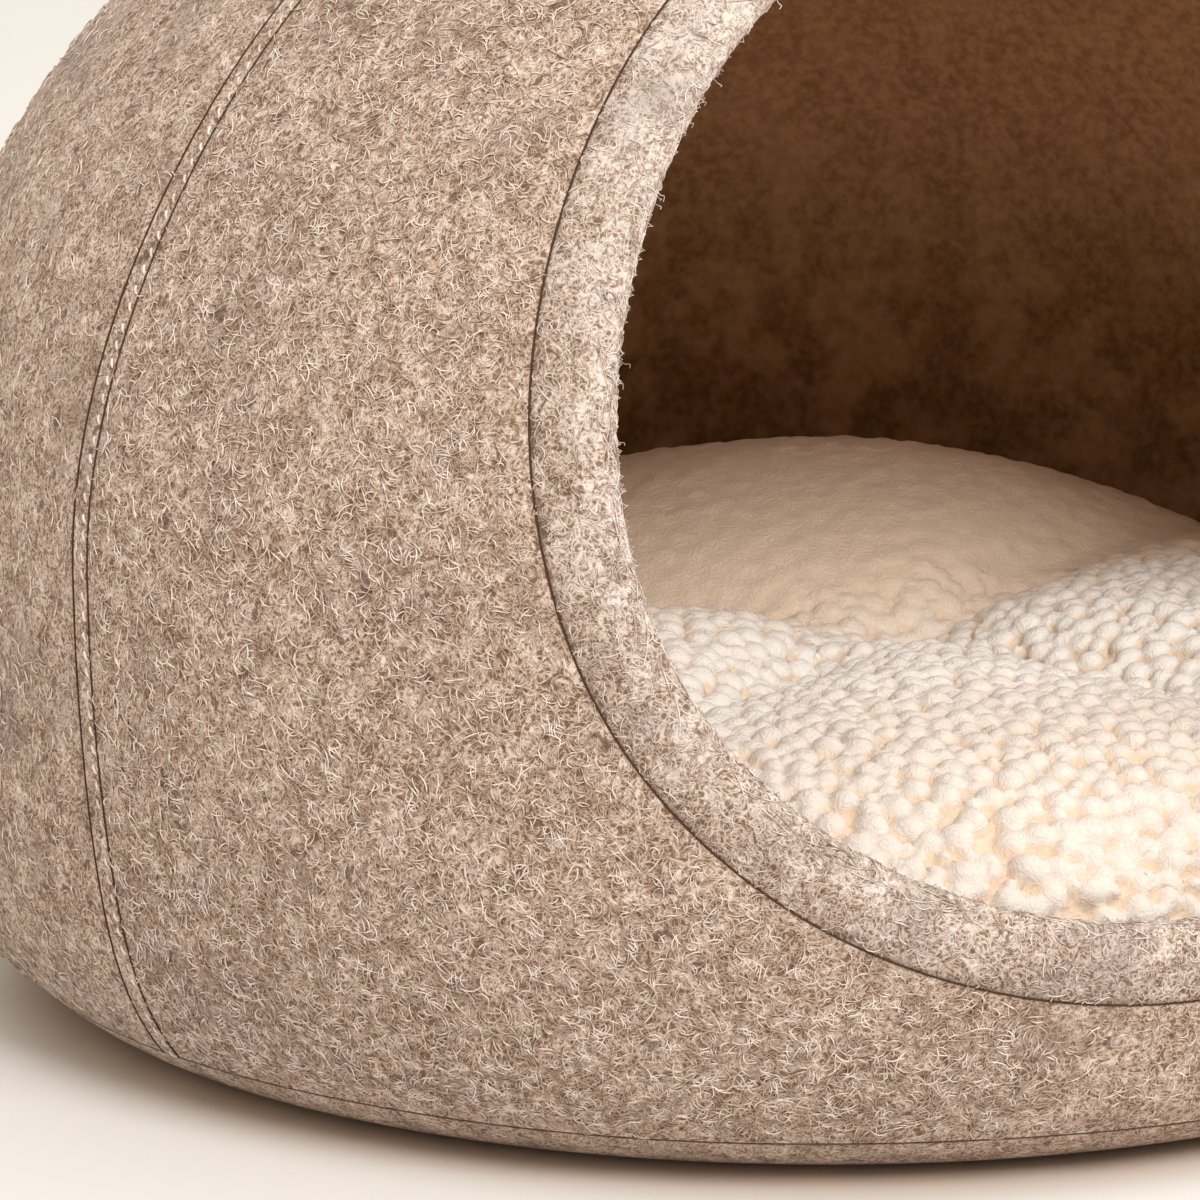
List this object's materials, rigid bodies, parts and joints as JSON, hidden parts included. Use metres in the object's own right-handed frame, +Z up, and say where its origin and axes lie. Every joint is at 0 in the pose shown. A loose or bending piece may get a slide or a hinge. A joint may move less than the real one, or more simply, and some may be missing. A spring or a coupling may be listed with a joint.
{
  "type": "dome cave pet bed",
  "caption": "Round felt cave bed for a cat or small dog: a domed wall with a rolled round mouth, a flat base and a removable lobed, curly pile cushion inside.",
  "frame": {"origin": "middle of the flat underside, on the dome's own axis, at floor level", "axes": "+Z up along the dome's axis, -Y out of the mouth, +X to the right of someone who looks into the mouth"},
  "size_m": [0.48, 0.4754, 0.3509],
  "materials": {
    "oatmeal_felt": "matt oatmeal felt with curly light fibres",
    "rim_felt": "the same felt, brushed lighter, over a padded roll",
    "brown_lining": "matt dark brown felt",
    "cream_pile": "cream curly bobble pile"
  },
  "bodies": {
    "root": {"front_panel": "oatmeal_felt", "back_panel": "oatmeal_felt", "side_welt": "oatmeal_felt", "base_panel": "oatmeal_felt", "rim_band": "rim_felt", "wall_lining": "brown_lining", "cushion": "cream_pile"}
  },
  "joints": []
}
